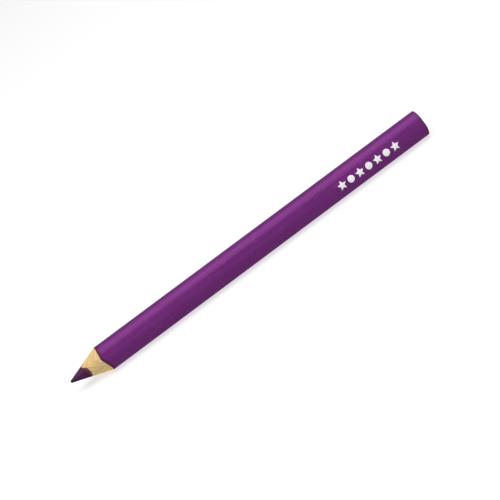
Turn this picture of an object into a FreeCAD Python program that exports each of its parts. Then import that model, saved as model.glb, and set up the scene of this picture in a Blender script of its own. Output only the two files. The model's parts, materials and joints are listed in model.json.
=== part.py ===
import FreeCAD, Part
import math
import os

# A thick three-sided colouring pencil in a wooden casing, in millimetres.
#
# It lies along X on one of its three flats, with the point towards -X and the cut end towards +X.
# The origin is at the middle of its length and width, on the surface that it lies on.
#
# It is built as a pencil mill builds one. Two grooved slats are glued together round a coloured core.
# The sandwich is shaped to a rounded triangle, given a ground coat and a colour coat, and cut to length.
# A row of plain shapes is stamped in foil on one face, and one end is sharpened through every layer, a
# little off centre, as a sharpener leaves it.

# Driving dimensions
LENGTH = 175.0  # blunt point to cut end
FLAT_WIDTH = 1.6  # flat part of each of the three faces
CORNER_RADIUS = 5.05  # outside of the colour coat
CORE_DIAMETER = 5.8
POINT_ANGLE = 37.0  # whole angle of the sharpened cone, in degrees
POINT_RADIUS = 0.65  # blunt end of the core
POINT_OFFSET = 0.25  # sharpened cone's axis off the pencil's own, up along the stamped face
COLOUR_COAT = 0.10
GROUND_COAT = 0.06
SEAM_GLUE = 0.08  # film between the two slats
CORE_GLUE = 0.10  # film between the core and its grooves
FOIL = 0.03
MARK_COUNT = 7  # shapes in the stamped row
MARK_ROW_LENGTH = 31.0
MARK_END_GAP = 13.3  # row to cut end
MARK_DROP = 1.6  # row's centreline below the middle of its face
STAR_DIAMETER = 4.2
STAR_POINTS = 5
STAR_WAIST = 0.48  # inner radius of a star over its outer radius
DISC_DIAMETER = 3.0

# Worked out from them
FACES = 3
HALF_ANGLE = math.radians(POINT_ANGLE / 2)
CORNER_REACH = FLAT_WIDTH / math.sqrt(3)  # axis to the centre of a rounded corner
AXIS_HEIGHT = FLAT_WIDTH / (2 * math.sqrt(3)) + CORNER_RADIUS  # axis to a flat
OUTER_REACH = CORNER_REACH + CORNER_RADIUS  # axis to the outside of a corner
CORE_RADIUS = CORE_DIAMETER / 2
TIP_X = -LENGTH / 2
END_X = LENGTH / 2
POINT_CENTRE_X = TIP_X + POINT_RADIUS
APEX_X = POINT_CENTRE_X - POINT_RADIUS / math.sin(HALF_ANGLE)  # where the cone would end if it were sharp
MARK_END_X = END_X - MARK_END_GAP
MARK_START_X = MARK_END_X - MARK_ROW_LENGTH
MARK_FACE = math.radians(150)  # outward direction of the stamped face, from +Y towards +Z
POINT_DIRECTION = MARK_FACE - math.pi / 2  # from the pencil's axis to the cone's

MARGIN = 1.0  # how far a cutting shape reaches past what it cuts
LEAST_VOLUME = 1e-6  # below this a solid is a sliver left by a cut

X_DIRECTION = FreeCAD.Vector(1, 0, 0)


def arc_point(centre, angle, radius):
    """The point at a radius and an angle, from +Y towards +Z, round a centre."""
    return centre + FreeCAD.Vector(0, radius * math.cos(angle), radius * math.sin(angle))


POINT_AXIS = arc_point(FreeCAD.Vector(0, 0, AXIS_HEIGHT), POINT_DIRECTION, POINT_OFFSET)


def rounded_triangle(x, growth):
    """The barrel's outline in the plane at x, grown outwards from the outside of the colour coat."""
    radius = CORNER_RADIUS + growth
    arcs = []
    for corner in range(FACES):
        direction = math.pi / 2 + corner * 2 * math.pi / FACES
        centre = arc_point(FreeCAD.Vector(x, 0, AXIS_HEIGHT), direction, CORNER_REACH)
        arcs.append([arc_point(centre, direction + turn * math.pi / FACES, radius) for turn in (-1, 0, 1)])
    edges = []
    for arc, following in zip(arcs, arcs[1:] + arcs[:1]):
        edges.append(Part.Arc(*arc).toShape())
        edges.append(Part.LineSegment(arc[-1], following[0]).toShape())
    return Part.Wire(edges)


def triangular_bar(growth, start=APEX_X, end=END_X):
    """A solid bar of the rounded triangle."""
    return Part.Face(rounded_triangle(start, growth)).extrude(X_DIRECTION * (end - start))


def round_bar(radius):
    """A solid bar about the pencil's axis."""
    start = FreeCAD.Vector(APEX_X, 0, AXIS_HEIGHT)
    return Part.makeCylinder(radius, END_X - APEX_X, start, X_DIRECTION)


def profile_point(x, reach):
    """A point of the sharpener's outline, straight above the cone's axis."""
    return POINT_AXIS + FreeCAD.Vector(x, 0, reach)


def sharpened_space():
    """All that the sharpener leaves: a blunt point, a cone that opens clear of the barrel, and a cylinder."""
    cone_x = POINT_CENTRE_X - POINT_RADIUS * math.sin(HALF_ANGLE)
    cone_reach = POINT_RADIUS * math.cos(HALF_ANGLE)
    half_turn = (math.pi / 2 - HALF_ANGLE) / 2
    blunt_middle_x = POINT_CENTRE_X - POINT_RADIUS * math.cos(half_turn)
    blunt = Part.Arc(
        profile_point(TIP_X, 0),
        profile_point(blunt_middle_x, POINT_RADIUS * math.sin(half_turn)),
        profile_point(cone_x, cone_reach),
    )
    clear = OUTER_REACH + MARGIN
    shoulder_x = APEX_X + clear / math.tan(HALF_ANGLE)
    corners = [(cone_x, cone_reach), (shoulder_x, clear), (END_X, clear), (END_X, 0), (TIP_X, 0)]
    points = [profile_point(x, reach) for x, reach in corners]
    lines = [Part.LineSegment(start, end).toShape() for start, end in zip(points, points[1:])]
    outline = Part.Face(Part.Wire([blunt.toShape(), *lines]))
    return outline.revolve(POINT_AXIS, X_DIRECTION, 360)


def slab(bottom, top):
    """A block between two heights, wider than the barrel and as long as the pencil."""
    width = 2 * (OUTER_REACH + MARGIN)
    return Part.makeBox(END_X - APEX_X, width, top - bottom, FreeCAD.Vector(APEX_X, -width / 2, bottom))


def coloured_core():
    """The core: a rod, sharpened to a blunt point with the wood round it."""
    return round_bar(CORE_RADIUS).common(sharpened_space())


def casing():
    """The two slats and the strips of glue beside the core that join them."""
    under_coats = triangular_bar(-COLOUR_COAT - GROUND_COAT)
    wood = under_coats.cut(round_bar(CORE_RADIUS + CORE_GLUE)).common(sharpened_space())
    seam_bottom = AXIS_HEIGHT - SEAM_GLUE / 2
    seam_top = AXIS_HEIGHT + SEAM_GLUE / 2
    seam = wood.common(slab(seam_bottom, seam_top))
    front, back = sorted(seam.Solids, key=lambda strip: strip.CenterOfMass.y)
    return {
        "lower_slat": wood.common(slab(-MARGIN, seam_bottom)),
        "upper_slat": wood.common(slab(seam_top, 2 * OUTER_REACH)),
        "front_seam_glue": front,
        "back_seam_glue": back,
    }


def core_glue():
    """The sleeve of glue that fills the grooves round the core."""
    sleeve = round_bar(CORE_RADIUS + CORE_GLUE).cut(round_bar(CORE_RADIUS))
    return sleeve.common(sharpened_space())


def coat(outside, thickness):
    """A coat of lacquer, with its outside grown from the barrel's outline."""
    skin = triangular_bar(outside).cut(triangular_bar(outside - thickness))
    return skin.common(sharpened_space())


def on_mark_face(x, up_face, height):
    """A point over the stamped face: along the pencil, up the face from the row, and out from the axis."""
    outwards = FreeCAD.Vector(0, math.cos(MARK_FACE), math.sin(MARK_FACE))
    upwards = FreeCAD.Vector(0, math.sin(MARK_FACE), -math.cos(MARK_FACE))
    foot = FreeCAD.Vector(x, 0, AXIS_HEIGHT)
    return foot + outwards * height + upwards * (up_face - MARK_DROP)


def star_outline(x, height):
    """A star over the stamped face, with one point towards the top of the face."""
    points = []
    for step in range(2 * STAR_POINTS):
        reach = STAR_DIAMETER / 2 * (STAR_WAIST if step % 2 else 1.0)
        angle = math.pi / 2 + step * math.pi / STAR_POINTS
        points.append(on_mark_face(x + reach * math.cos(angle), reach * math.sin(angle), height))
    return Part.makePolygon([*points, points[0]])


def disc_outline(x, height):
    """A disc over the stamped face."""
    centre = on_mark_face(x, 0, height)
    outwards = on_mark_face(x, 0, height + 1) - centre
    return Part.Wire(Part.makeCircle(DISC_DIAMETER / 2, centre, outwards))


def foil_marks():
    """Stars and discs by turns, each a film that follows the stamped face and its rounded edge."""
    film = triangular_bar(FOIL, MARK_START_X - MARGIN, MARK_END_X + MARGIN)
    film = film.cut(triangular_bar(0))
    inside = CORE_RADIUS
    outside = OUTER_REACH + MARGIN
    stamping = on_mark_face(0, 0, outside) - on_mark_face(0, 0, inside)
    pitch = (MARK_ROW_LENGTH - STAR_DIAMETER) / (MARK_COUNT - 1)
    marks = {}
    for place in range(MARK_COUNT):
        x = MARK_START_X + STAR_DIAMETER / 2 + place * pitch
        kind, outline = ("disc", disc_outline) if place % 2 else ("star", star_outline)
        stamped = Part.Face(outline(x, inside)).extrude(stamping)
        marks[f"foil_{kind}_{place // 2 + 1}"] = film.common(stamped)
    return marks


def write(name, shape):
    """Checks that a piece is one sound solid, and writes it."""
    solids = [solid for solid in shape.Solids if solid.Volume > LEAST_VOLUME]
    if len(solids) != 1 or not solids[0].isValid():
        raise ValueError(f"{name} is not one sound solid")
    solids[0].exportStep(f"parts/{name}.step")
    box = solids[0].optimalBoundingBox(False)
    print(
        f"{name:16s} {solids[0].Volume:9.3f} mm3  x {box.XMin:.3f} to {box.XMax:.3f}, "
        f"y {box.YMin:.3f} to {box.YMax:.3f}, z {box.ZMin:.3f} to {box.ZMax:.3f}"
    )


def main():
    os.makedirs("parts", exist_ok=True)
    pieces = {
        **casing(),
        "coloured_core": coloured_core(),
        "core_glue": core_glue(),
        "ground_coat": coat(-COLOUR_COAT, GROUND_COAT),
        "colour_coat": coat(0, COLOUR_COAT),
        **foil_marks(),
    }
    for name, shape in pieces.items():
        write(name, shape)


main()
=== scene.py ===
import functools
import json
import math

import bmesh
import bpy
from mathutils import Matrix, Vector, noise


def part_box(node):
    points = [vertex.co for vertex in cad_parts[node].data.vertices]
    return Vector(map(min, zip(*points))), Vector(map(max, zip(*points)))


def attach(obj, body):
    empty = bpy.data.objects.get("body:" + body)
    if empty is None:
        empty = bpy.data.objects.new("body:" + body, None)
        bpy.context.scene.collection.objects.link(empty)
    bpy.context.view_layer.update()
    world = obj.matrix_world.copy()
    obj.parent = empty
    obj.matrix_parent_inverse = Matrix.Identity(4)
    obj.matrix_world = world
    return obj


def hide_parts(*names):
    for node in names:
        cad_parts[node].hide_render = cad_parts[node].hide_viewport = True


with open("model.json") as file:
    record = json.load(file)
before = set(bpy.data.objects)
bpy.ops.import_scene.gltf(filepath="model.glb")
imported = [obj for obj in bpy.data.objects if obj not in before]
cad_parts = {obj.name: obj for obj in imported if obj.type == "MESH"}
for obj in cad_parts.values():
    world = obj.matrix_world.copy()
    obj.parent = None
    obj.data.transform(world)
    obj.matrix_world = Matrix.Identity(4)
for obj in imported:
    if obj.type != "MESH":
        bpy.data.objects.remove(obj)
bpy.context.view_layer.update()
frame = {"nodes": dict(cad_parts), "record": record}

# The looks of a thick three-sided colouring pencil, in the CAD model's own frame.
#
# The two lacquer coats, the core and the foil shapes are finer meshes that stand for their CAD nodes: the
# coats have rounded rims and a front edge that is torn back, most of all on the middle of each face, the
# core has a worn point, and the foil has true curves. The slats and the glue are the CAD nodes themselves.
# Each has a pattern-built material.

MM = 0.001

# Camera
VIEW_TILT = math.radians(5.2)  # how far it looks along the pencil from the point's side
VIEW_TURN = math.radians(2.0)  # how far it stands below the stamped face's own direction
VIEW_ROLL = math.radians(36.68)
VIEW_DISTANCE = 0.45
VIEW_SHIFT_ALONG = 0.56 * MM
VIEW_SHIFT_ACROSS = -0.10 * MM
LENS = 80.8
CLIP_START = 0.05
CLIP_END = 50

# Light and studio
WORLD_STRENGTH = 0.02
TOP_LIGHT_HEIGHT = 1.3
TOP_LIGHT_FORWARD = 0.15
TOP_LIGHT_LENGTH = 2.4
TOP_LIGHT_WIDTH = 1.4
TOP_LIGHT_POWER = 34
FLOOR_HALF_WIDTH = 4.0
FLOOR_GLOW = 0.68
WALL_HEIGHT = 4.5
WALL_GLOW = 0.74

# Barrel
FACES = 3
FACE_TURN = 2 * math.pi / FACES
MARK_FACE = math.radians(150)  # outward direction of the stamped face, from +Y towards +Z
ARC_STEPS = 90  # mesh steps round one rounded corner
FLAT_STEPS = 20  # mesh steps across one flat
ON_FLAT = 1e-6  # how near the lowest plane a corner of the mesh on the flat lies

# Lacquer coats
RIM_ROUNDING = 0.03 * MM
RIM_MIDDLE = 0.3  # share of the rounding at the ring in the middle of a rim
FRONT_STATIONS = (0.1, 0.25, 0.5, 1.0, 2.0, 4.0, 8.0, 16.0, 40.0, 80.0, 120.0)  # mm behind the front edge
REAR_STATIONS = (8.0, 3.0, 1.2, 0.6, 0.3, 0.12)  # mm before the cut end
CUT_FADE = 0.8  # mm over which the attribute fades from a cut edge
COLOUR_TEAR = 0.10 * MM
GROUND_TEAR = 0.05 * MM
TONGUE_TEAR = 0.32 * MM  # extra, at the tongue of lacquer on the middle of each face
TEAR_EVEN = 0.35  # share of the tear that is even all round
TEAR_RIPPLES = ((0.55, 14, 0), (0.6, 4, 5))  # strength, frequency and shift of each uneven layer

# Core
CORE_STEPS = 128  # mesh steps round it
CORE_TIP_STEPS = 14
CORE_CONE_STEPS = 60
CORE_END_RINGS = (0.99, 0.5)  # rings on the cut end, as shares of its radius
CORE_WEAR = 0.05 * MM
WEAR_EVEN = 0.5  # share of the wear that is even all over
WEAR_RIPPLES = ((0.5, 0.5 * MM), (0.3, 0.2 * MM))  # strength and size of each uneven layer
WEAR_STOP = 6  # how sharply the wear ends at the wood, as a power

# Foil
FOIL_RINGS = 10
FOIL_TOP = 0.97  # share of the reach that is at full thickness
FOIL_EDGE = ((0.985, 0.85), (0.997, 0.5), (1.0, 0.0))  # share of the reach, share of the thickness
FOIL_ROUND_STEPS = 96
STAR_POINTS = 5
STAR_SIDE_STEPS = 8  # mesh steps along one side of a star's point
STAR_WAIST = 0.48  # inner radius of a star over its outer radius

# Wood and wax, in millimetres
WOOD_RING = 1.15  # from one growth ring to the next
RING_WANDER = 1.6  # how far a growth ring strays from a true circle
LOWER_PITH = (0.0, -19.0, -16.0)  # middle of the growth rings of each slat
UPPER_PITH = (0.0, 24.0, -21.0)
CUTTER_TURNS = 2 * math.pi / 0.32  # a cutter mark every 0.32 mm
SMEAR_SIDE = math.radians(172)  # where the core's wax is dragged furthest over the wood
SMEAR_DRAG = 1.95  # how much further it is dragged there
SMEAR_START = -0.8  # from the core's edge to the least that the wax reaches
SMEAR_RAGGED = 1.0  # how much further than that its ragged edge reaches
HAZE_LENGTH = 2.6  # from the core's edge to the end of the thin haze of wax
REDDER_LENGTH = 2.4  # redder stretch of the core's cone, before the core's edge
CONE_FADE = (2.0, 1.0)  # past the core's edge, from where the core isn't seen on the cone to where it may be
BURNISH = (4.5, 0.6)  # behind the tip, from where the point starts to darken to where it is darkest
SAWN_DEPTH = (0.3, 0.02)  # before the cut end, from where the saw's mark starts to where it is full
GLUE_STAIN = (0.4, 0.12)  # outside the core, from where the glue starts to be stained to where it is full
SPOT_MIDDLE = 0.6  # share of a spot's radius that is at full strength

# A mix node's sockets for colours, which share their names with its sockets for numbers
MIX_FACTOR = 0
MIX_FIRST = 6
MIX_SECOND = 7
MIX_RESULT = 2

# Colours, in linear light
LACQUER_DEEP = (0.142, 0.023, 0.161)
LACQUER_BRIGHT = (0.178, 0.028, 0.197)
LACQUER_GRAIN = (0.106, 0.015, 0.124)
LACQUER_SCUFF = (0.42, 0.22, 0.44)
LACQUER_DUST = (0.30, 0.12, 0.32)
LACQUER_CUT = (0.090, 0.018, 0.048)
LACQUER_GLINT = (1.0, 0.32, 0.88)
GROUND_DARK = (0.075, 0.014, 0.034)
GROUND_LIGHT = (0.130, 0.032, 0.062)
FIBRE_DARK = (0.70, 0.475, 0.190)
FIBRE_LIGHT = (0.83, 0.615, 0.295)
LATE_WOOD = (0.60, 0.355, 0.125)
WARM_WOOD = (0.86, 0.60, 0.36)
WOOD_PORE = (0.42, 0.25, 0.10)
SAWN_WOOD = (0.50, 0.31, 0.13)
WAX_ON_WOOD = (0.115, 0.030, 0.070)
CORE_DARK = (0.056, 0.008, 0.053)
CORE_LIGHT = (0.105, 0.020, 0.090)
CORE_SCRAPE = (0.17, 0.06, 0.14)
CORE_SPECK = (0.26, 0.08, 0.20)
CORE_REAR = (0.085, 0.014, 0.042)
CORE_POINT = (0.030, 0.022, 0.036)
CORE_GLINT = (1.0, 0.7, 0.95)
GLUE_DARK = (0.46, 0.30, 0.13)
GLUE_LIGHT = (0.66, 0.47, 0.23)
GLUE_STAINED = (0.085, 0.016, 0.050)
FOIL_SHADE = (0.95, 0.92, 0.95)
FOIL_WHITE = (1.0, 0.98, 1.0)
FOIL_RUBBED = (0.40, 0.25, 0.42)
FLOOR_GREY = (0.32, 0.32, 0.32)
BLACK = (0.0, 0.0, 0.0)
WHITE = (1.0, 1.0, 1.0)


def around(angle):
    """The direction at an angle round the pencil, from +Y towards +Z."""
    return Vector((0, math.cos(angle), math.sin(angle)))


def node_points(node):
    """The corners of a CAD node's mesh."""
    return [vertex.co for vertex in frame["nodes"][node].data.vertices]


# ---------------------------------------------------------------- sizes read off the CAD nodes

core_low, core_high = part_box("coloured_core")
coat_low, coat_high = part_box("colour_coat")
tip_x = core_low.x
end_x = core_high.x
axis_z = (core_low.z + core_high.z) / 2
axis = Vector((0, 0, axis_z))
core_radius = (core_high.z - core_low.z) / 2

coat_points = node_points("colour_coat")
flat_width = 2 * max(point.y for point in coat_points if point.z < coat_low.z + ON_FLAT)
corner_reach = flat_width / math.sqrt(3)  # axis to the centre of a rounded corner
flat_reach = flat_width / (2 * math.sqrt(3))  # axis to the line through two such centres
corner_radius = axis_z - coat_low.z - flat_reach

core_tip = min(node_points("coloured_core"), key=lambda point: point.x)
cone_axis = Vector((0, core_tip.y, core_tip.z))  # the sharpener's, a little off the pencil's own


def off_axis(point):
    """A point's distance from the sharpened cone's axis."""
    return math.hypot(point.y - cone_axis.y, point.z - cone_axis.z)


coat_front = min(coat_points, key=lambda point: point.x)
sleeve_front = min(node_points("core_glue"), key=lambda point: point.x)
cone_slope = (off_axis(coat_front) - off_axis(sleeve_front)) / (coat_front.x - sleeve_front.x)
cone_half_angle = math.atan(cone_slope)
apex_x = sleeve_front.x - off_axis(sleeve_front) / cone_slope
point_radius = (tip_x - apex_x) / (1 / math.sin(cone_half_angle) - 1)

ground_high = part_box("ground_coat")[1]
slat_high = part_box("upper_slat")[1]
colour_thickness = coat_high.z - ground_high.z
ground_thickness = ground_high.z - slat_high.z
mark_outwards = around(MARK_FACE)
mark_upwards = around(MARK_FACE - math.pi / 2)
foil_outside = max((point - axis).dot(mark_outwards) for point in node_points("foil_disc_1"))
foil_thickness = foil_outside - flat_reach - corner_radius

# The same places in millimetres, for the materials
tip_mm = tip_x / MM
end_mm = end_x / MM
core_radius_mm = core_radius / MM
core_edge_mm = (apex_x + core_radius / cone_slope) / MM  # where the sharpened core meets the wood


# ---------------------------------------------------------------- meshes


def cone_x(point):
    """Where the sharpened cone crosses the line along the pencil through a point."""
    return apex_x + off_axis(point) / cone_slope


def new_piece(name, points, faces, replaced):
    """A smooth mesh piece that stands for a CAD node and rides with the pencil."""
    mesh = bpy.data.meshes.new(name)
    mesh.from_pydata(points, [], faces)
    work = bmesh.new()
    work.from_mesh(mesh)
    bmesh.ops.recalc_face_normals(work, faces=work.faces)
    work.to_mesh(mesh)
    work.free()
    mesh.shade_smooth()
    piece = bpy.data.objects.new(name, mesh)
    bpy.context.scene.collection.objects.link(piece)
    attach(piece, "root")
    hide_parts(replaced)
    return piece


def strips(ring_count, size, closed):
    """The four-sided faces between rings of points, and from the last ring to the first if closed."""
    faces = []
    for ring in range(ring_count if closed else ring_count - 1):
        following = (ring + 1) % ring_count
        for step in range(size):
            beside = (step + 1) % size
            faces.append((
                ring * size + step,
                ring * size + beside,
                following * size + beside,
                following * size + step,
            ))
    return faces


def capped_strips(ring_count, size):
    """The faces between rings, closed by two more points: inside the first ring, then inside the last."""
    faces = strips(ring_count, size, closed=False)
    last = (ring_count - 1) * size
    first_middle = ring_count * size
    last_middle = first_middle + 1
    for step in range(size):
        beside = (step + 1) % size
        faces.append((first_middle, beside, step))
        faces.append((last_middle, last + step, last + beside))
    return faces


# ---------------------------------------------------------------- lacquer coats


def barrel_places():
    """Places round the barrel: a point of the triangle through the corners' centres, and outwards from it."""
    places = []
    for corner in range(FACES):
        direction = math.pi / 2 + corner * FACE_TURN
        centre = axis + around(direction) * corner_reach
        following = axis + around(direction + FACE_TURN) * corner_reach
        for step in range(ARC_STEPS):
            places.append((centre, around(direction + (step / ARC_STEPS - 0.5) * FACE_TURN)))
        outwards = around(direction + FACE_TURN / 2)
        for step in range(FLAT_STEPS):
            places.append((centre.lerp(following, step / FLAT_STEPS), outwards))
    return places


def tear(point, outwards, depth, salt):
    """How far the front edge is torn back: most at the tongue of lacquer on the middle of each face."""
    from_mark_face = math.atan2(point.z - axis_z, point.y) - MARK_FACE
    tongue = TONGUE_TEAR * max(0.0, math.cos(FACES * from_mark_face))
    share = TEAR_EVEN
    for strength, frequency, shift in TEAR_RIPPLES:
        place = Vector((salt + shift, outwards.y * frequency, outwards.z * frequency))
        share += strength * noise.noise(place)
    return tongue + depth * max(0.0, share)


def coat(node, outer, thickness, tear_depth, salt):
    """A closed tube of lacquer, cut by the sharpener in front and by the saw behind."""
    places = barrel_places()
    rings = []
    distances = []

    def ring(growth, distance, x_of):
        """Adds a ring at a growth from the barrel's outside, with its distance in mm from a cut edge."""
        points = []
        for anchor, outwards in places:
            point = anchor + outwards * (corner_radius + growth)
            point.x = x_of(point, outwards)
            points.append(point)
        rings.append(points)
        distances.append(distance)

    def front(behind):
        """The place of a ring that follows the torn front edge."""
        return lambda point, outwards: cone_x(point) + tear(point, outwards, tear_depth, salt) + behind

    def at(x):
        """The place of a ring that lies square to the pencil."""
        return lambda point, outwards: x

    inner = outer - thickness
    rim_middle = RIM_ROUNDING * RIM_MIDDLE
    ring(inner, 0, front(0))
    ring(outer - RIM_ROUNDING, 0, front(0))
    ring(outer - rim_middle, 0, front(rim_middle))
    ring(outer, 0, front(RIM_ROUNDING))
    for behind in FRONT_STATIONS:
        ring(outer, behind, front(behind * MM))
    for before in REAR_STATIONS:
        ring(outer, before, at(end_x - before * MM))
    ring(outer, 0, at(end_x - RIM_ROUNDING))
    ring(outer - rim_middle, 0, at(end_x - rim_middle))
    ring(outer - RIM_ROUNDING, 0, at(end_x))
    ring(inner, 0, at(end_x))

    points = [point for ring_points in rings for point in ring_points]
    faces = strips(len(rings), len(places), closed=True)
    piece = new_piece(f"{node}_skin", points, faces, node)
    cut = piece.data.attributes.new("cut", "FLOAT", "POINT")
    cut.data.foreach_set("value", [math.exp(-distance / CUT_FADE) for distance in distances for _ in places])
    return piece


# ---------------------------------------------------------------- core


def core_wear(point, share):
    """How far the core's cone is worn in at a point, with its share of the way from tip to wood."""
    uneven = WEAR_EVEN
    for strength, size in WEAR_RIPPLES:
        uneven += strength * noise.noise(point / size)
    return CORE_WEAR * max(0.0, uneven) * (1 - share ** WEAR_STOP)


def core():
    """The coloured core, with its point and its cut cone worn a little inwards."""
    centre_x = tip_x + point_radius
    tip_reach = point_radius * math.cos(cone_half_angle)
    offset = cone_axis - axis
    directions = [around(2 * math.pi * step / CORE_STEPS) for step in range(CORE_STEPS)]

    rings = []
    for step in range(1, CORE_TIP_STEPS + 1):
        angle = (math.pi / 2 - cone_half_angle) * step / CORE_TIP_STEPS
        x = centre_x - point_radius * math.cos(angle)
        reach = point_radius * math.sin(angle)
        rings.append([cone_axis + Vector((x, 0, 0)) + outwards * reach for outwards in directions])

    rod = []  # the rod's outside in each direction, from the cone's axis
    for outwards in directions:
        lean = offset.dot(outwards)
        rod.append(math.sqrt(core_radius ** 2 - offset.length_squared + lean ** 2) - lean)
    for step in range(1, CORE_CONE_STEPS + 1):
        share = step / CORE_CONE_STEPS
        ring = []
        for outwards, widest in zip(directions, rod):
            reach = tip_reach + (widest - tip_reach) * step / CORE_CONE_STEPS
            point = cone_axis + outwards * reach
            point.x = apex_x + reach / cone_slope
            ring.append(point - outwards * core_wear(point, share))
        rings.append(ring)

    edge = [cone_axis + outwards * widest for outwards, widest in zip(directions, rod)]
    rings.append([point + Vector((end_x - RIM_ROUNDING, 0, 0)) for point in edge])
    for share in CORE_END_RINGS:
        rings.append([axis + (point - axis) * share + Vector((end_x, 0, 0)) for point in edge])

    points = [point for ring in rings for point in ring]
    points.append(cone_axis + Vector((tip_x, 0, 0)))
    points.append(axis + Vector((end_x, 0, 0)))
    faces = capped_strips(len(rings), CORE_STEPS)
    return new_piece("coloured_core_worn", points, faces, "coloured_core")


# ---------------------------------------------------------------- foil


def on_face(x, up_face, growth):
    """A point on the stamped face and its rounded edges, with up_face square to the face's middle."""
    past_flat = abs(up_face) - flat_width / 2
    radius = corner_radius + growth
    reach = flat_reach + (radius if past_flat <= 0 else math.sqrt(radius ** 2 - past_flat ** 2))
    return axis + Vector((x, 0, 0)) + mark_outwards * reach + mark_upwards * up_face


def disc_outline():
    """A disc's outline as (angle, reach) pairs, for a reach of 1."""
    return [(2 * math.pi * step / FOIL_ROUND_STEPS, 1.0) for step in range(FOIL_ROUND_STEPS)]


def star_outline():
    """A star's outline as (angle, reach) pairs, for an outer reach of 1."""
    corners = []
    for corner in range(2 * STAR_POINTS):
        angle = math.pi / 2 + corner * math.pi / STAR_POINTS
        corners.append(Vector((math.cos(angle), math.sin(angle))) * (STAR_WAIST if corner % 2 else 1.0))
    outline = []
    for start, stop in zip(corners, corners[1:] + corners[:1]):
        for step in range(STAR_SIDE_STEPS):
            point = start.lerp(stop, step / STAR_SIDE_STEPS)
            outline.append((math.atan2(point.y, point.x), point.length))
    return outline


def foil(node):
    """One stamped shape: a film over the face, thin at its edge, with its underside on the lacquer."""
    low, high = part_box(node)
    middle = (low + high) / 2
    heights = [(point - axis).dot(mark_upwards) for point in node_points(node)]
    if "star" in node:
        outline = star_outline()
        reach = (max(heights) - min(heights)) / (1 + math.cos(math.pi / STAR_POINTS))
        centre = max(heights) - reach
    else:
        outline = disc_outline()
        reach = (high.x - low.x) / 2
        centre = (max(heights) + min(heights)) / 2

    rows = [(step / FOIL_RINGS * FOIL_TOP, foil_thickness) for step in range(1, FOIL_RINGS + 1)]
    rows += [(share, foil_thickness * thickness) for share, thickness in FOIL_EDGE]
    points = []
    for share, growth in rows:
        for angle, length in outline:
            x = middle.x + math.cos(angle) * length * reach * share
            up_face = centre + math.sin(angle) * length * reach * share
            points.append(on_face(x, up_face, growth))
    points.append(on_face(middle.x, centre, foil_thickness))
    points.append(on_face(middle.x, centre, 0.0))
    faces = capped_strips(len(rows), len(outline))
    return new_piece(f"{node}_film", points, faces, node)


# ---------------------------------------------------------------- materials


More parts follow.
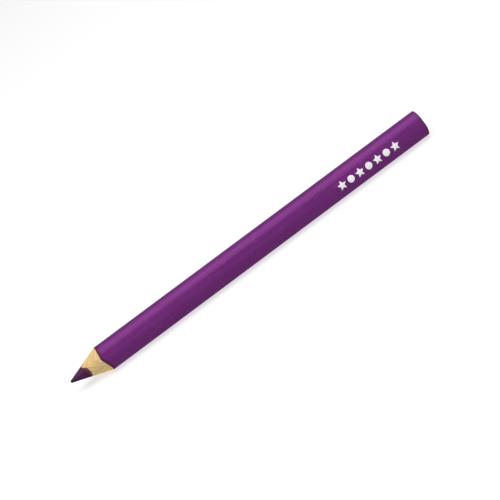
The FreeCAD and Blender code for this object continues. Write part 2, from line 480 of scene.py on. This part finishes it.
class Finish:
    """A material under construction, whose patterns are measured in millimetres along the pencil's axes."""

    def __init__(self, name, specular):
        self.material = bpy.data.materials.new(name)
        self.material.use_nodes = True
        self.tree = self.material.node_tree
        self.shader = self.tree.nodes["Principled BSDF"]
        self.relief = None
        self.set("Specular IOR Level", specular)

    @functools.cached_property
    def place(self):
        """The place on the surface, in mm."""
        metres = self.add("ShaderNodeTexCoord").outputs["Object"]
        return self.vector("SCALE", metres, Scale=1 / MM).outputs["Vector"]

    @functools.cached_property
    def along(self):
        """The place's three measures: along the pencil, across it and up."""
        return self.add("ShaderNodeSeparateXYZ", {"Vector": self.place}).outputs

    def set(self, socket, value):
        """Links or sets one input of the Principled shader."""
        self.fill(self.shader.inputs[socket], value)

    def fill(self, socket, value):
        """Links an input to a node's output, or sets it to a value."""
        if isinstance(value, bpy.types.NodeSocket):
            self.tree.links.new(value, socket)
        elif isinstance(value, tuple) and socket.type == "RGBA":
            socket.default_value = (*value, 1)
        else:
            socket.default_value = value

    def add(self, kind, sockets=None, **settings):
        """A node with these settings, and these inputs linked or set."""
        node = self.tree.nodes.new(kind)
        for setting, value in settings.items():
            setattr(node, setting, value)
        for socket, value in (sockets or {}).items():
            self.fill(node.inputs[socket], value)
        return node

    def sum(self, operation, *values):
        """One step of arithmetic."""
        return self.add("ShaderNodeMath", dict(enumerate(values)), operation=operation).outputs[0]

    def vector(self, operation, *values, **sockets):
        """One step of arithmetic on places."""
        return self.add("ShaderNodeVectorMath", {**dict(enumerate(values)), **sockets}, operation=operation)

    def noise(self, size, stretch=1.0, detail=2.0, shift=0.0):
        """Even noise from 0 to 1, with features of a size across the pencil and stretched along it."""
        mapping = self.add("ShaderNodeMapping", {
            "Vector": self.place,
            "Location": (shift, shift, shift),
            "Scale": (1 / (size * stretch), 1 / size, 1 / size),
        })
        return self.add("ShaderNodeTexNoise", {
            "Vector": mapping.outputs["Vector"], "Scale": 1.0, "Detail": detail,
        }).outputs["Fac"]

    def fade(self, value, low, high, to_low=0.0, to_high=1.0):
        """A smooth change from to_low to to_high as the value goes from low to high."""
        return self.add("ShaderNodeMapRange", {
            "Value": value, "From Min": low, "From Max": high, "To Min": to_low, "To Max": to_high,
        }, interpolation_type="SMOOTHSTEP").outputs["Result"]

    def spots(self, size, radius, stretch=1.0):
        """Round spots, one at most to a cell of a size, as 1 inside and 0 outside."""
        mapping = self.add("ShaderNodeMapping", {
            "Vector": self.place, "Scale": (1 / (size * stretch), 1 / size, 1 / size),
        })
        cells = self.add("ShaderNodeTexVoronoi", {"Vector": mapping.outputs["Vector"], "Scale": 1.0})
        return self.fade(cells.outputs["Distance"], radius, radius * SPOT_MIDDLE)

    def mix(self, factor, first, second):
        """The first colour where the factor is 0 and the second where it is 1."""
        node = self.tree.nodes.new("ShaderNodeMix")
        node.data_type = "RGBA"
        self.fill(node.inputs[MIX_FACTOR], factor)
        self.fill(node.inputs[MIX_FIRST], first)
        self.fill(node.inputs[MIX_SECOND], second)
        return node.outputs[MIX_RESULT]

    def tint(self, colour, factor, second, amount):
        """A colour with a second one laid over it where the factor is 1, by an amount."""
        return self.mix(self.sum("MULTIPLY", factor, amount), colour, second)

    def bump(self, height, depth):
        """Adds relief of a depth in mm to what the surface has already."""
        sockets = {"Height": height, "Distance": depth * MM, "Strength": 1.0}
        if self.relief is not None:
            sockets["Normal"] = self.relief
        self.relief = self.add("ShaderNodeBump", sockets).outputs["Normal"]

    def cutter_marks(self, wander, amount):
        """Rings that a cutter leaves round the cone, as a wave along the pencil that wanders a little."""
        wandering = self.sum("MULTIPLY_ADD", wander, amount, self.along["X"])
        return self.sum("SINE", self.sum("MULTIPLY", wandering, CUTTER_TURNS))

    def towards(self, angle):
        """How far round the pencil a place is from the opposite side to an angle, from -1 to 1."""
        from_axis = self.vector("SUBTRACT", self.place, axis / MM).outputs[0]
        across = self.vector("MULTIPLY", from_axis, (0.0, 1.0, 1.0)).outputs[0]
        unit = self.vector("NORMALIZE", across).outputs[0]
        return self.vector("DOT_PRODUCT", unit, around(angle)).outputs["Value"]

    def reach(self):
        """The distance from the pencil's axis in mm."""
        across = self.along["Y"]
        height = self.sum("SUBTRACT", self.along["Z"], axis_z / MM)
        square = self.sum("ADD", self.sum("MULTIPLY", across, across), self.sum("MULTIPLY", height, height))
        return self.sum("SQRT", square)

    def done(self):
        """The finished material."""
        if self.relief is not None:
            self.set("Normal", self.relief)
        return self.material


def lacquer():
    """Gloss purple lacquer: long draw lines, a soft orange peel, dust, rubbed places and darker cut rims."""
    finish = Finish("colour_lacquer", specular=0.34)
    finish.set("IOR", 1.45)
    finish.set("Specular Tint", LACQUER_GLINT)
    cloud = finish.noise(size=7.0, stretch=4.0)
    grain = finish.noise(size=0.45, stretch=60.0, detail=3.0)
    draw_lines = finish.noise(size=0.16, stretch=400.0, detail=1.0, shift=3.0)
    peel = finish.noise(size=0.9, stretch=1.5, detail=1.0, shift=9.0)
    scuffs = finish.fade(finish.noise(size=0.5, stretch=9.0, detail=4.0, shift=21.0), 0.60, 0.72)
    dust = finish.spots(size=2.4, radius=0.045)
    cut = finish.add("ShaderNodeAttribute", attribute_name="cut").outputs["Fac"]

    colour = finish.mix(cloud, LACQUER_DEEP, LACQUER_BRIGHT)
    colour = finish.mix(finish.fade(grain, 0.35, 0.7, to_high=0.22), colour, LACQUER_GRAIN)
    colour = finish.tint(colour, scuffs, LACQUER_SCUFF, amount=0.10)
    colour = finish.tint(colour, dust, LACQUER_DUST, amount=0.35)
    colour = finish.mix(finish.fade(cut, 0.1, 1.0), colour, LACQUER_CUT)
    finish.set("Base Color", colour)
    roughness = finish.fade(cloud, 0.2, 0.8, to_low=0.30, to_high=0.36)
    roughness = finish.sum("ADD", roughness, finish.sum("MULTIPLY", scuffs, 0.12))
    finish.set("Roughness", finish.sum("ADD", roughness, finish.sum("MULTIPLY", cut, 0.2)))
    finish.bump(grain, depth=0.010)
    finish.bump(draw_lines, depth=0.003)
    finish.bump(peel, depth=0.012)
    finish.bump(dust, depth=0.012)
    return finish.done()


def ground_lacquer():
    """The dull ground coat, seen as a thin dark ring where the sharpener cuts it."""
    finish = Finish("ground_lacquer", specular=0.3)
    torn = finish.noise(size=0.25, detail=3.0)
    finish.set("Base Color", finish.mix(torn, GROUND_DARK, GROUND_LIGHT))
    finish.set("Roughness", finish.fade(torn, 0.3, 0.7, to_low=0.5, to_high=0.7))
    finish.bump(torn, depth=0.03)
    return finish.done()


def growth_rings(finish, pith, shift):
    """The dark part of each growth ring round a slat's pith line, as 1 at its darkest."""
    from_pith = finish.vector("SUBTRACT", finish.place, pith).outputs[0]
    across = finish.vector("MULTIPLY", from_pith, (0.0, 1.0, 1.0)).outputs[0]
    pith_reach = finish.vector("LENGTH", across).outputs["Value"]
    wander = finish.noise(size=2.5, stretch=14.0, shift=shift)
    place = finish.sum("MULTIPLY_ADD", wander, RING_WANDER, pith_reach)
    ring = finish.sum("FRACT", finish.sum("MULTIPLY", place, 1 / WOOD_RING))
    return finish.sum("MULTIPLY", finish.fade(ring, 0.45, 0.95), finish.fade(ring, 0.0, 0.12))


def dragged_wax(finish, shift):
    """Where the core's wax covers the wood beside it: a ragged smear, then a thin haze in the grain."""
    ragged = finish.noise(size=0.9, stretch=1.2, detail=4.0, shift=shift + 12)
    smear_edge = finish.sum("MULTIPLY_ADD", ragged, SMEAR_RAGGED, core_edge_mm + SMEAR_START)
    drag = finish.fade(finish.towards(SMEAR_SIDE), 0.3, 1.0, to_high=SMEAR_DRAG)
    smear_edge = finish.sum("ADD", smear_edge, drag)
    smear = finish.fade(finish.sum("SUBTRACT", finish.along["X"], smear_edge), 0.15, -0.1)
    haze = finish.fade(finish.along["X"], core_edge_mm + HAZE_LENGTH, core_edge_mm, to_high=0.28)
    grain = finish.noise(size=0.3, stretch=4.0, detail=3.0, shift=shift + 15)
    haze = finish.sum("MULTIPLY", haze, finish.fade(grain, 0.35, 0.7))
    return finish.sum("MAXIMUM", smear, haze)


def casing_wood(name, pith, shift):
    """Pale soft wood: growth rings round a pith line, fibres, pores, cutter marks, and wax near the core."""
    finish = Finish(name, specular=0.25)
    late = growth_rings(finish, pith, shift)
    fibres = finish.noise(size=0.22, stretch=30.0, detail=4.0, shift=shift + 4)
    patches = finish.noise(size=3.0, stretch=3.0, shift=shift + 8)
    pores = finish.spots(size=0.42, radius=0.16, stretch=9.0)
    sawn = finish.fade(finish.along["X"], *(end_mm - before for before in SAWN_DEPTH))

    colour = finish.mix(fibres, FIBRE_DARK, FIBRE_LIGHT)
    colour = finish.tint(colour, late, LATE_WOOD, amount=0.55)
    colour = finish.mix(finish.fade(patches, 0.4, 0.8, to_high=0.35), colour, WARM_WOOD)
    colour = finish.tint(colour, pores, WOOD_PORE, amount=0.30)
    colour = finish.mix(dragged_wax(finish, shift), colour, WAX_ON_WOOD)
    colour = finish.tint(colour, sawn, SAWN_WOOD, amount=0.45)
    finish.set("Base Color", colour)
    finish.set("Roughness", finish.fade(fibres, 0.3, 0.7, to_low=0.55, to_high=0.72))
    finish.bump(finish.cutter_marks(patches, 0.5), depth=0.006)
    finish.bump(fibres, depth=0.030)
    finish.bump(late, depth=0.02)
    finish.bump(pores, depth=-0.03)
    return finish.done()


def core_wax():
    """Waxy colour: cutter rings, scraped streaks, pits and pigment specks, and a burnished dark point."""
    finish = Finish("colour_core", specular=0.22)
    finish.set("Specular Tint", CORE_GLINT)
    mottle = finish.noise(size=0.8, stretch=1.5, detail=4.0)
    scrape = finish.noise(size=0.18, stretch=7.0, detail=3.0, shift=6.0)
    pits = finish.spots(size=0.55, radius=0.22)
    specks = finish.spots(size=0.9, radius=0.10)
    redder = finish.fade(finish.along["X"], core_edge_mm - REDDER_LENGTH, core_edge_mm, to_high=0.6)
    on_cone = finish.fade(finish.along["X"], *(core_edge_mm + past for past in CONE_FADE))
    burnished = finish.fade(finish.along["X"], *(tip_mm + behind for behind in BURNISH), to_high=0.85)

    colour = finish.mix(mottle, CORE_DARK, CORE_LIGHT)
    colour = finish.mix(finish.fade(scrape, 0.5, 0.75, to_high=0.30), colour, CORE_SCRAPE)
    colour = finish.tint(colour, specks, CORE_SPECK, amount=0.4)
    colour = finish.tint(colour, redder, CORE_REAR, amount=on_cone)
    colour = finish.mix(burnished, colour, CORE_POINT)
    finish.set("Base Color", colour)
    finish.set("Roughness", finish.fade(mottle, 0.3, 0.7, to_low=0.38, to_high=0.55))
    finish.bump(finish.cutter_marks(mottle, 0.4), depth=0.008)
    finish.bump(scrape, depth=0.025)
    finish.bump(mottle, depth=0.05)
    finish.bump(pits, depth=-0.04)
    return finish.done()


def dried_glue():
    """Dried wood glue: amber between the slats, and stained by the core's wax where it touches it."""
    finish = Finish("glue", specular=0.25)
    blotches = finish.noise(size=0.35, stretch=3.0, detail=3.0)
    stain = finish.fade(finish.reach(), *(core_radius_mm + outside for outside in GLUE_STAIN))
    colour = finish.mix(blotches, GLUE_DARK, GLUE_LIGHT)
    finish.set("Base Color", finish.mix(stain, colour, GLUE_STAINED))
    finish.set("Roughness", finish.fade(blotches, 0.3, 0.7, to_low=0.5, to_high=0.7))
    finish.bump(blotches, depth=0.03)
    return finish.done()


def white_foil():
    """Satin white stamping foil, with pinholes and rubbed places that let the lacquer through."""
    finish = Finish("foil", specular=0.5)
    pinholes = finish.spots(size=0.7, radius=0.11)
    rubbed = finish.fade(finish.noise(size=0.3, stretch=1.6, detail=4.0), 0.68, 0.78)
    weave = finish.noise(size=0.12)
    worn = finish.sum("MAXIMUM", finish.sum("MULTIPLY", pinholes, 0.7), rubbed)
    colour = finish.mix(weave, FOIL_SHADE, FOIL_WHITE)
    finish.set("Base Color", finish.mix(worn, colour, FOIL_RUBBED))
    finish.set("Roughness", finish.fade(weave, 0.3, 0.7, to_low=0.30, to_high=0.45))
    finish.bump(weave, depth=0.006)
    finish.bump(pinholes, depth=-0.015)
    return finish.done()


def glowing(name, colour, glow, specular):
    """A plain matt finish for the studio, lit a little from inside like a light table."""
    finish = Finish(name, specular)
    finish.set("Base Color", colour)
    finish.set("Emission Color", WHITE)
    finish.set("Emission Strength", glow)
    finish.set("Roughness", 0.9)
    return finish.done()


# ---------------------------------------------------------------- scene


def paint(piece, material):
    """Gives a piece this material alone."""
    piece.data.materials.clear()
    piece.data.materials.append(material)


def add_camera():
    """The camera, looking at the middle of the pencil at the photograph's viewing angle."""
    back = Vector((-math.sin(VIEW_TILT), 0, 0)) + around(MARK_FACE + VIEW_TURN) * math.cos(VIEW_TILT)
    along = (Vector((1, 0, 0)) - back * back.x).normalized()
    over = back.cross(along)
    right = along * math.cos(VIEW_ROLL) - over * math.sin(VIEW_ROLL)
    up = along * math.sin(VIEW_ROLL) + over * math.cos(VIEW_ROLL)
    camera = bpy.data.objects.new("camera", bpy.data.cameras.new("camera"))
    bpy.context.scene.collection.objects.link(camera)
    camera.data.lens = LENS
    camera.data.clip_start = CLIP_START
    camera.data.clip_end = CLIP_END
    aim = axis + Vector((VIEW_SHIFT_ALONG, 0, 0)) + over * VIEW_SHIFT_ACROSS
    turn = Matrix((right, up, back)).transposed().to_4x4()
    camera.matrix_world = Matrix.Translation(aim + back * VIEW_DISTANCE) @ turn
    bpy.context.scene.camera = camera


def stage_piece(name, points, faces, material):
    """A piece of the studio, which isn't part of the pencil and doesn't show in its gloss."""
    mesh = bpy.data.meshes.new(name)
    mesh.from_pydata(points, [], faces)
    piece = bpy.data.objects.new(name, mesh)
    bpy.context.scene.collection.objects.link(piece)
    piece.visible_glossy = False
    paint(piece, material)
    return piece


def add_studio():
    """A pale floor, and a pale wall round it that only the camera sees, so the light stays from above."""
    reach = FLOOR_HALF_WIDTH
    corners = [(-reach, -reach), (reach, -reach), (reach, reach), (-reach, reach)]
    foot = [(x, y, 0) for x, y in corners]
    head = [(x, y, WALL_HEIGHT) for x, y in corners]
    stage_piece("floor", foot, [(0, 1, 2, 3)], glowing("floor", FLOOR_GREY, FLOOR_GLOW, specular=0.0))
    sides = strips(2, len(corners), closed=False)
    ceiling = (4, 5, 6, 7)
    wall_finish = glowing("wall", BLACK, WALL_GLOW, specular=0.5)
    wall = stage_piece("wall", foot + head, [*sides, ceiling], wall_finish)
    wall.visible_diffuse = False
    wall.visible_transmission = False
    wall.visible_shadow = False


def add_light():
    """A wide soft box overhead, and a dim world."""
    light = bpy.data.objects.new("top_light", bpy.data.lights.new("top_light", "AREA"))
    bpy.context.scene.collection.objects.link(light)
    light.data.shape = "RECTANGLE"
    light.data.size = TOP_LIGHT_LENGTH
    light.data.size_y = TOP_LIGHT_WIDTH
    light.data.energy = TOP_LIGHT_POWER
    light.location = (0, -TOP_LIGHT_FORWARD, TOP_LIGHT_HEIGHT)

    world = bpy.data.worlds.new("studio")
    bpy.context.scene.world = world
    world.use_nodes = True
    background = world.node_tree.nodes["Background"]
    background.inputs["Color"].default_value = (*WHITE, 1.0)
    background.inputs["Strength"].default_value = WORLD_STRENGTH


wood = {
    "lower_slat": casing_wood("casing_wood_lower", LOWER_PITH, shift=0.0),
    "upper_slat": casing_wood("casing_wood_upper", UPPER_PITH, shift=40.0),
}
glue_finish = dried_glue()
foil_finish = white_foil()

colour_skin = coat("colour_coat", 0.0, colour_thickness, COLOUR_TEAR, salt=1.0)
paint(colour_skin, lacquer())
ground_skin = coat(
    "ground_coat", -colour_thickness, ground_thickness, GROUND_TEAR, salt=30.0
)
paint(ground_skin, ground_lacquer())
paint(core(), core_wax())
for row in frame["record"]["subparts"]:
    node = row["node"]
    if node in wood:
        paint(frame["nodes"][node], wood[node])
    elif row["material_slot"] == "glue":
        paint(frame["nodes"][node], glue_finish)
    elif row["material_slot"] == "foil":
        paint(foil(node), foil_finish)

add_camera()
add_studio()
add_light()
bpy.context.scene.view_settings.view_transform = "Standard"
